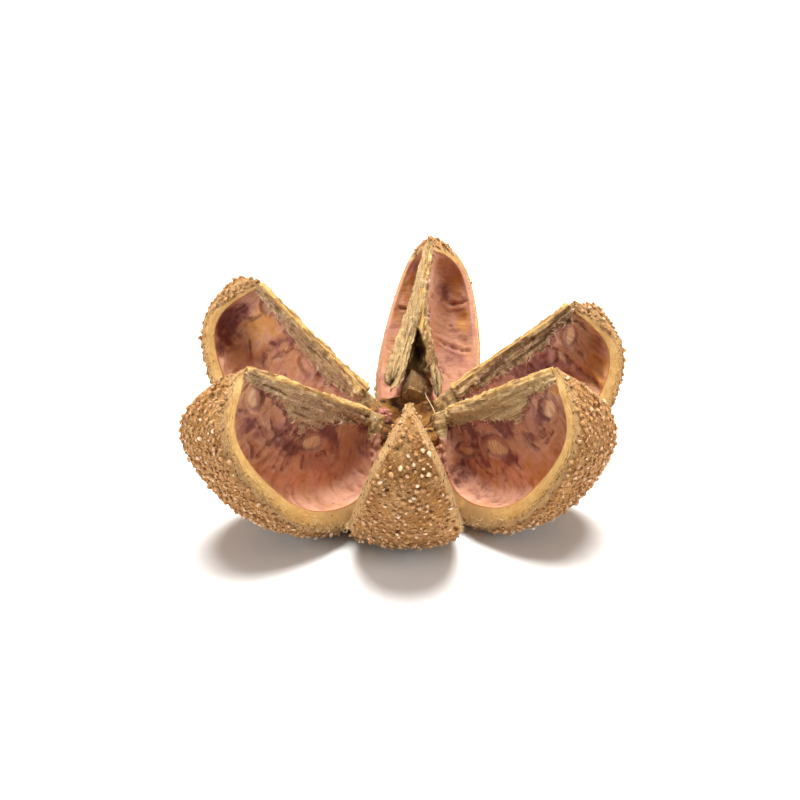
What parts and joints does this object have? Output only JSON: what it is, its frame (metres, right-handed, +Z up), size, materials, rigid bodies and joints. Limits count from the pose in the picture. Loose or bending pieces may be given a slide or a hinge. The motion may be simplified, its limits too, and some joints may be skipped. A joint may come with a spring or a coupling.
{
  "type": "open woody seed capsule",
  "caption": "Dry woody seed capsule, burst open like a star: warty boat-shaped valves round one base, with seed hollows on both sides of each septum.",
  "frame": {"origin": "on the resting surface, under the middle of the box", "axes": "+Z up, the front valve points to -Y"},
  "size_m": [0.0866, 0.0884, 0.0391],
  "materials": {
    "woody_rind": "matt dry warty rind in tan and brown, straw-coloured cut rims, rose-brown papery hollows"
  },
  "bodies": {
    "root": {"capsule": "woody_rind"}
  },
  "joints": []
}
